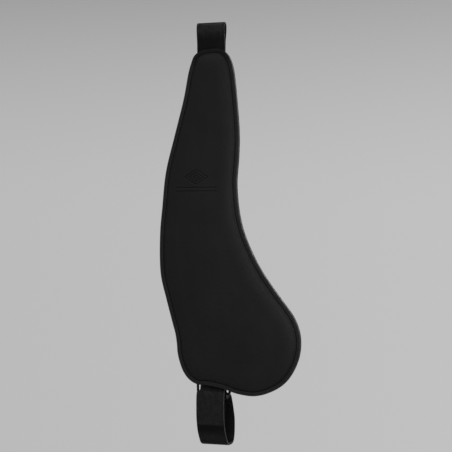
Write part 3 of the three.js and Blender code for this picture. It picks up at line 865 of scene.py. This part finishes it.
def strap_marks(path, down, creases):
    """Pressed depth, wear and painted highlight, painted shade and bare edges at a path's points.
    """
    lengths, (y, z) = lengths_along(path), path.T
    press = sum(depth * bump_at(lengths, at, 1.5) for at, (_, _, depth) in zip(creases, CREASES))
    seat = down & (z < SEAT_TOP)
    seat_wear = 0.12 + 0.13 * smoother((z + 604.5) / 2) + 0.15 * bump_at(lengths, creases[0], 1.2)
    # Painted shade: darkest just below the first crease, lighter further down, and darker again at
    # the bottom of the bend.
    seat_shade = (0.75 * smoother(-(z + 603.5) / 3) - 0.4 * smoother(-(z + 611) / 12)
                  + 0.3 * smoother(-(z + 626) / 6))
    roll = down & (y < 0.5) & (z > -60)
    # A painted highlight on the upper front of the roll, added to the stirrup wear.
    wear_and_highlight = np.where(seat, seat_wear, 0) + np.where(roll, 0.42 * bump_at(z, 1.5, 9.5), 0)
    # Painted shade on the front leg below the roll's bulge.
    shade = np.where(seat, seat_shade, 0) + np.where(roll, 0.7 * smoother(-(z + 4) / 12), 0)
    # Edges are bare on the seat; elsewhere the sweep gives them painted shade.
    return press, wear_and_highlight, shade, np.where(seat, 0.9, 0.05)


def stirrup_leather():
    """The strap: over the bar, down behind the panel, and round the loop to the buckle."""
    path, creases = stirrup_path()
    down = np.arange(len(path)) < np.argmin(path[:, 1])
    half, cut_back, thick = strap_outline(path, down)
    press, wear_and_highlight, shade, bare_and_edge_shade = strap_marks(path, down, creases)
    path[:, 0] -= np.where(lengths_along(path) < SKIVE, (STRAP_T - thick) / 2, 0)
    piece = sweep("stirrup_leather", path, half, thick, 0.25, cut_back, press, wear_and_highlight, shade, bare_and_edge_shade)
    crossing = tongue_crossing()
    cutters = [rod(name, SHANK_HOLE, -20, 20) for name in RIVETS]
    cutters.append(slot_cutter(LOOP_UP_PATH, crossing, TONGUE_SLOT, HOLE))
    for k in (-3, -2, -1, 1, 2):
        cutters.append(slot_cutter(LOOP_UP_PATH, crossing + HOLE_PITCH * k, HOLE, HOLE - 0.02))
    combine(piece, cutters, sharp_angle=40)
    piece.data.materials.clear()
    piece.data.materials.append(STRAP)
    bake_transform(piece)
    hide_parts("main_strap", "stirrup_strap")


def chape():
    """Leather folded round the buckle's heel bar and slotted for the tongue."""
    offset, bend = (CHAPE_T + GAP) / 2, WIRE_R + GAP + CHAPE_T / 2
    mid = BAND_Y + STRAP_T / 2 + GAP + CHAPE_T + GAP / 2
    front = spline([[mid - offset, -482], [mid - offset, -505], [4, -517]])
    turn = [HEEL + bend * np.array([math.cos(math.radians(a)), math.sin(math.radians(a))])
            for a in range(180, 361, 10)]
    back = spline([[10.7, -517], [8.7, -508], [mid + offset, -499], [mid + offset, -482]])
    path = np.vstack([thin_out(front, 2.5, 4), turn, thin_out(back, 2.5, 4)])
    piece = sweep("chape_leather", path[::-1], CHAPE_W / 2, CHAPE_T, 0.15)
    combine(piece, [box_cutter("slot", (-4, -20, -537.5), (4, 40, -519.5))], sharp_angle=40)
    finish_piece(piece, STRAP, "stirrup_loop", "buckle_chape")


# ---- keepers
def rounded_loop(half_x, half_y, radius, steps=7):
    """[x, y] points round a rounded rectangle, from the middle of its back."""
    points = [(0, half_y), (-half_x * 0.45, half_y)]
    for sx, sy, start in ((-1, 1, 90), (-1, -1, 180), (1, -1, 270), (1, 1, 0)):
        for i in range(steps + 1):
            angle = math.radians(start + 90 * i / steps)
            points.append((sx * (half_x - radius) + radius * math.cos(angle),
                           sy * (half_y - radius) + radius * math.sin(angle)))
        if (sx, sy) == (-1, -1):
            points += [(-half_x * 0.4, -half_y), (half_x * 0.4, -half_y)]
    return points + [(half_x * 0.45, half_y)]


def keeper(name, node, body):
    """A leather band round the straps, overlapped and stitched at its back."""
    low, high = box_mm(node)
    middle = (low + high) / 2
    half_x, half_y, h = (high - low) / 2 - (KEEPER_T / 2, KEEPER_T / 2, 0)
    lap_y = half_y + KEEPER_T * 1.03
    lap = [(half_x * share, lap_y) for share in (0.3, 0.15, 0, -0.12, -0.3)]
    path = np.array([*rounded_loop(half_x, half_y, 1.6), *lap])
    t = KEEPER_T / 2
    edge = [(h - 2.1, t), (h - 1.8, t - 0.12), (h - 1.5, t), (h - 0.8, t), (h - 0.35, t * 0.9),
            (h, t * 0.4), (h, -t * 0.5)]
    shape = np.array([*((-z, out) for z, out in edge[::-1]), (0, t + 0.06), *edge,
                      (h - 0.3, -t), (-h + 0.3, -t)])
    rings = []
    for point, normal in zip(path, -outward_side(path)):
        xy = point + middle[:2] + shape[:, 1:] * normal
        rings.append(np.column_stack([xy, shape[:, 0] + middle[2]]))
    wear_and_highlight = np.tile(smoother((np.abs(shape[:, 0]) - h + 0.7) / 0.6), len(rings))
    piece = mesh_object(name, np.vstack(rings) * MM, tube_faces(len(rings), len(shape)), 50,
                        {"wear_and_highlight": wear_and_highlight, "shade": wear_and_highlight * 0})
    finish_piece(piece, STRAP, body, node)
    y, reach = high[1] + KEEPER_T * 1.03 - 0.02, h - 2.4
    heights = np.linspace(-reach, reach, max(3, round(reach / 1.3) + 1))
    spots = [((x + middle[0], y, z + middle[2]), (0, 0, 1))
             for x in (half_x * 0.08, -half_x * 0.18) for z in heights]
    stitches(f"{name}_stitching", spots, body, 2.1)


# ---- stitches
def bead(length, radius, sides=8):
    """One stitch, lying along X: the rings of a short cord that dips at both ends."""
    rings = []
    for t in (-0.5, -0.42, -0.25, 0, 0.25, 0.42, 0.5):
        r = radius * math.sqrt(max(0.08, 1 - (2 * abs(t)) ** 3))
        dip = -radius * 0.9 * (2 * abs(t)) ** 3
        rings.append([(t * length, r * c, r * s + dip) for c, s in circle(sides)])
    return np.array(rings)


def stitches(name, spots, body, length, outward=(0, 1, 0)):
    """Beads at (place, direction) pairs in millimetres, lifted towards outward."""
    rings = bead(length, THREAD_R)
    shape = rings.reshape(-1, 3)
    bead_faces = tube_faces(*rings.shape[:2])
    vertices, faces = [], []
    for place, direction in spots:
        along = np.array(direction, float)
        along /= np.linalg.norm(along)
        basis = np.array([along, np.cross(outward, along), outward])
        start = len(vertices) * len(shape)
        vertices.append(shape @ basis + np.array(place))
        faces += [[start + i for i in face] for face in bead_faces]
    finish_piece(mesh_object(name, np.vstack(vertices) * MM, faces, 80), THREAD, body)


def seam_round(distance, pitch):
    """Stitch places round the panel as [x, z], and the way the seam runs at each."""
    flat = inset(distance)
    closed = np.vstack([flat, flat[:1]])
    lengths = lengths_along(closed)
    count = int(lengths[-1] / MM / pitch)
    places = sample(closed, lengths, (np.arange(count) + 0.5) * lengths[-1] / count)
    return places, np.roll(places, -1, axis=0) - np.roll(places, 1, axis=0)


def rim_stitches():
    """The seam round the panel's edge, on the face and, clear of the strap, on the lining."""
    places, ahead = seam_round(SEAM_IN, 3.6)
    outer, back = [], []
    for (x, z), (dx, dz), y in zip(places, ahead, face_height(places) / MM - 0.12):
        outer.append(((x / MM, y, z / MM), (dx, 0, dz)))
        if abs(x) > (HALF_W + 1) * MM or z < -0.5:
            back.append(((x / MM, LINING_BACK - 0.38, z / MM), (dx, 0, dz)))
    stitches("rim_stitching_outer", outer, "fender", 3.0, outward=(0, -1, 0))
    stitches("rim_stitching_back", back, "fender", 3.0)


def strap_seams():
    """Seams of the strap, its folded-over end and the chape."""
    y_main, y_over = (y + STRAP_T / 2 - TUNNEL[0] + 0.02 for y in (STRAP_Y, OVER_Y))
    y_band = BAND_Y - STRAP_T / 2 - TUNNEL[0] - 0.02
    up, across = (0, 0, 1), (1, 0, 0)
    rows, pitch = (-18.6, 18.6), 4.2
    main = [((x, y_main, z), up) for x in rows for z in np.arange(-120, -436, -pitch)]
    over = [((x, y_over, z), up) for x in rows for z in np.arange(-34, -104, -pitch)]
    for x in np.linspace(-14.7, 14.7, 8):
        over += [((x, y_over - 0.25, -106.5), across), ((x, y_over, -36), across)]
    band = [((x, y_band, z), up) for x in (-15.5, 15.5) for z in np.arange(-500, -512, -3.8)]
    stitches("strap_stitching", main, "fender", 3.3)
    stitches("fold_stitching", over, "fender", 3.3)
    stitches("chape_stitching", band, "stirrup_loop", 3.0, outward=(0, -1, 0))


# ---- buckle
def buckle_frame(sides=24):
    """A wire frame with rounded corners, in the plane through both of its bars."""
    down = ROLLER - HEEL
    length = np.linalg.norm(down)
    down = down / length
    path = []
    for side, far, start in ((1, 0, -90), (1, 1, 0), (-1, 1, 90), (-1, 0, 180)):
        for i in range(9):
            angle = math.radians(start + 90 * i / 8)
            x = side * (FRAME_HALF - CORNER_R) + CORNER_R * math.cos(angle)
            s = (length - CORNER_R if far else CORNER_R) + CORNER_R * math.sin(angle)
            path.append((x, *(HEEL + down * s - TUNNEL)))
    path = np.array(path)
    normal = np.array([0, -down[1], down[0]])
    rings = []
    for point, along in zip(path, ring_tangents(path)):
        across = np.cross(along, normal)
        rings += [point + WIRE_R * (c * across + s * normal) for c, s in circle(sides)]
    faces = ring_faces(len(path), sides, True)
    piece = mesh_object("buckle_wire", np.array(rings) * MM, faces, 60)
    finish_piece(piece, METAL, "buckle", "buckle_frame")


def bar_tube(name, bar, outer, half, ease, ends):
    """A tube round a bar; its ends are [depth below the outer radius, depth along] points."""
    bore = WIRE_R + GAP
    end = [(bore, ease), (bore + ease, 0), *((outer - r, s) for r, s in ends)]
    profile = [(r, -half + s) for r, s in end] + [(r, half - s) for r, s in end[::-1]]
    return lathe(name, profile, np.array([0, *(bar - TUNNEL)]) * MM, "X", 40, closed=True)


def buckle_roller():
    """A rolled tube with eased ends and the seam of its rolled sheet."""
    half, (y, z) = FRAME_HALF - CORNER_R - GAP, ROLLER
    ends = ((0.3, 0), (0.08, 0.1), (0, 0.4))
    piece = bar_tube("roller_tube", ROLLER, ROLLER_R, half, 0.2, ends)
    seam = box_cutter("seam", (-half - 1, y - 0.12, z - ROLLER_R - 1),
                      (half + 1, y + 0.12, z - WIRE_R - GAP - 0.5))
    combine(piece, [seam], sharp_angle=40)
    finish_piece(piece, METAL, "roller", "buckle_roller")


def buckle_tongue(sides=24):
    """An eye bent round the heel bar, and a pin that tapers to a blunt tip."""
    aim = tongue_aim()
    across = np.array([-aim[1], aim[0]])
    eye = bar_tube("tongue_pin", HEEL, WIRE_R + GAP + 1.9, 2.5, 0.3, ((0.4, 0), (0, 0.4)))
    # how far along, and the half width and half depth there
    stations = [
        (2.9, 2.45, 0.8), (3.8, 2.4, 1.35), (5.4, 2.15, 1.55), (7.5, 1.8, 1.6), (11, 1.62, 1.6),
        (18, 1.58, 1.58), (25, 1.52, 1.52), (28.5, 1.45, 1.42), (30, 1.4, 1.3), (31.3, 1.2, 1.1),
        (32.1, 0.85, 0.8), (32.6, 0.35, 0.35),
    ]
    vertices = []
    for along, half_w, half_d in stations:
        for c, s in circle(sides):
            vertices.append((half_w * c, *(HEEL - TUNNEL + aim * along + across * half_d * s)))
    pin = mesh_object("pin", np.array(vertices) * MM, tube_faces(len(stations), sides), 60)
    combine(eye, [pin], "UNION", sharp_angle=45)
    finish_piece(eye, METAL, "tongue", "buckle_tongue")


# ---- camera, light and stage
MIDDLE = Vector((0.02279, 0.0, -0.30465))  # of the first view
AZIMUTH, DISTANCE, LENS, SENSOR = 20.0, 2.2, 114.5, 36.0
RIGHTWARD, AWAY = (0.94, 0.342, 0), (-0.342, 0.94, 0)  # as the first view has them
WORLD_FRONT = 0.5  # brightness of the room in front, as a share of the wall's
FLOOR_Z, FLOOR_R, FLOOR_CLEAR = -0.98, 1.9, 0.7


def add_aimed(data, name, place):
    """An object with camera or light data, facing the middle of the view."""
    aimed = bpy.data.objects.new(name, data)
    aimed.location = place
    aimed.rotation_mode = "QUATERNION"
    aimed.rotation_quaternion = (MIDDLE - Vector(place)).to_track_quat("-Z", "Y")
    SCENE.collection.objects.link(aimed)
    return aimed


def add_camera():
    data = bpy.data.cameras.new("camera")
    data.sensor_width, data.lens = SENSOR, LENS
    azimuth = math.radians(AZIMUTH)
    back = Vector((math.sin(azimuth), -math.cos(azimuth), 0))
    SCENE.camera = add_aimed(data, "camera", MIDDLE + back * DISTANCE)


def add_lights():
    """Soft area lights that face the middle of the object, in metres, watts and degrees."""
    for name, place, size, power, spread in (
        ("key", (1.9, -1.7, 0.3), 1.2, 1.2, 70), ("side", (0.45, -0.32, -0.25), 0.3, 0.95, 140),
        ("top", (-0.2, -0.9, 1.9), 1.3, 3.2, 70), ("fill", (-2.4, -1.6, 0.2), 1.4, 0.2, 70),
        ("back", (0.4, 2.6, 0.9), 1.8, 12, 70),
    ):
        data = bpy.data.lights.new(name, "AREA")
        data.shape, data.size, data.energy = "DISK", size, power
        data.spread = math.radians(spread)
        add_aimed(data, name, place).visible_camera = False


def add_world():
    """A pale studio: a wall that darkens upward, and a dimmer room in front."""
    world = bpy.data.worlds.new("studio")
    w = Nodes(world, "ShaderNodeOutputWorld", "ShaderNodeBackground", "Generated")

    def along(axis, *spans, **settings):
        dot = w.add("ShaderNodeVectorMath", {0: w.place, 1: axis}, operation="DOT_PRODUCT")
        return w.span(dot.outputs["Value"], *spans, **settings)

    rising = along((0, 0, 1), 0, 0.17, 0, 0.42)
    level = along(RIGHTWARD, -0.2, 0.2, 0.49, 0.54)
    level = w.math("SUBTRACT", level, w.math("MULTIPLY", rising, rising))
    front = along(AWAY, -0.3, 0.6, WORLD_FRONT, 1, interpolation_type="SMOOTHSTEP")
    w.feed(w.shader, {"Color": w.math("MULTIPLY", level, front)})
    SCENE.world = world


def add_floor():
    """A plain pale floor, below the first view, that fades out at its edge."""
    m = Nodes(bpy.data.materials.new("floor"))
    pale = m.mix(m.noise(400, 2), (0.47, 0.47, 0.47), (0.5, 0.5, 0.5))
    m.feed(m.shader, {"Base Color": pale, "Roughness": 0.9})
    out = m.add("ShaderNodeVectorMath", {0: m.place}, operation="LENGTH").outputs["Value"]
    fade = m.span(out, FLOOR_CLEAR, FLOOR_R * 0.98, 0, 1)
    clear = m.add("ShaderNodeBsdfTransparent").outputs[0]
    blend = m.add("ShaderNodeMixShader", {0: fade, 1: m.shader.outputs[0], 2: clear})
    m.feed(m.output, {0: blend.outputs[0]})
    rim = [(FLOOR_R * c, FLOOR_R * s, 0) for c, s in circle(96)]
    floor = mesh_object("floor", rim, [range(len(rim))])
    floor.data.materials.append(m.owner)
    floor.location = (0, 0, FLOOR_Z)


# ---- the whole
add_camera()
add_world()
add_floor()
add_lights()
SCENE.view_settings.view_transform = "Standard"

face_panel()
foam_pad()
lining()
rivets()
stirrup_leather()
chape()
keeper("fixed_keeper_band", "fixed_keeper", "stirrup_loop")
keeper("sliding_keeper_band", "sliding_keeper", "loose_keeper")
buckle_frame()
buckle_roller()
buckle_tongue()
rim_stitches()
strap_seams()
